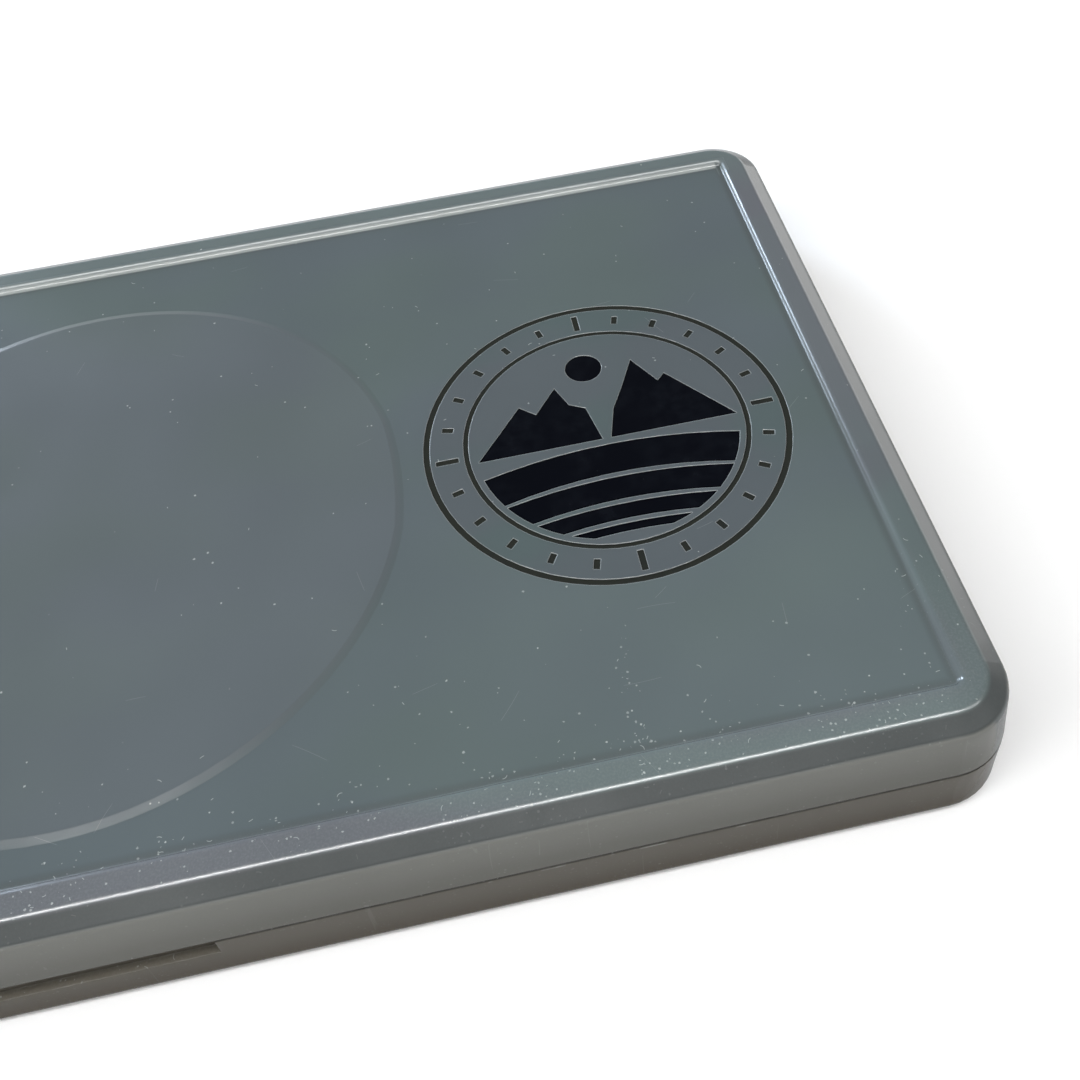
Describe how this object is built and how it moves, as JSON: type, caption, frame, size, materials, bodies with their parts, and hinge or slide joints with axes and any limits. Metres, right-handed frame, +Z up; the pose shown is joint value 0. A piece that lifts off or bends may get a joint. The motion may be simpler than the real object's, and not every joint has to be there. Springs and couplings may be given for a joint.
{
  "type": "fly box",
  "caption": "Slim flat box with a hinged lid, a bevelled rim round a sunk lid panel with a round emblem, corner magnets and a ribbed mat with slots inside.",
  "frame": {"origin": "under the middle of the closed box's bounding box, on the surface it stands on", "axes": "+X along the box's length, towards the emblem's end; +Y towards the hinges; +Z up, out of the closed lid"},
  "size_m": [0.1816, 0.0986, 0.0152],
  "materials": {
    "base_plastic": "smooth translucent smoke-grey moulding",
    "lid_plastic": "smooth translucent smoke-grey moulding with a light satin sheen",
    "emblem_black": "glossy black filling",
    "pin_steel": "drawn stainless wire",
    "magnet_nickel": "nickel plating",
    "mat_silicone": "matt translucent silicone",
    "film": "clear adhesive film"
  },
  "bodies": {
    "base": {"base_shell": "base_plastic", "hinge_pin_right": "pin_steel", "hinge_pin_left": "pin_steel", "base_magnet_right": "magnet_nickel", "base_magnet_left": "magnet_nickel", "slit_mat": "mat_silicone", "mat_film": "film"},
    "lid": {"lid_shell": "lid_plastic", "lid_emblem": "emblem_black", "lid_magnet_right": "magnet_nickel", "lid_magnet_left": "magnet_nickel"}
  },
  "joints": [
    {"name": "lid_hinge", "type": "hinge", "parent": "base", "child": "lid", "pos_m": [0, 0.04745, 0.0076], "axis": [-1, 0, 0], "range_deg": [0, 180]}
  ]
}
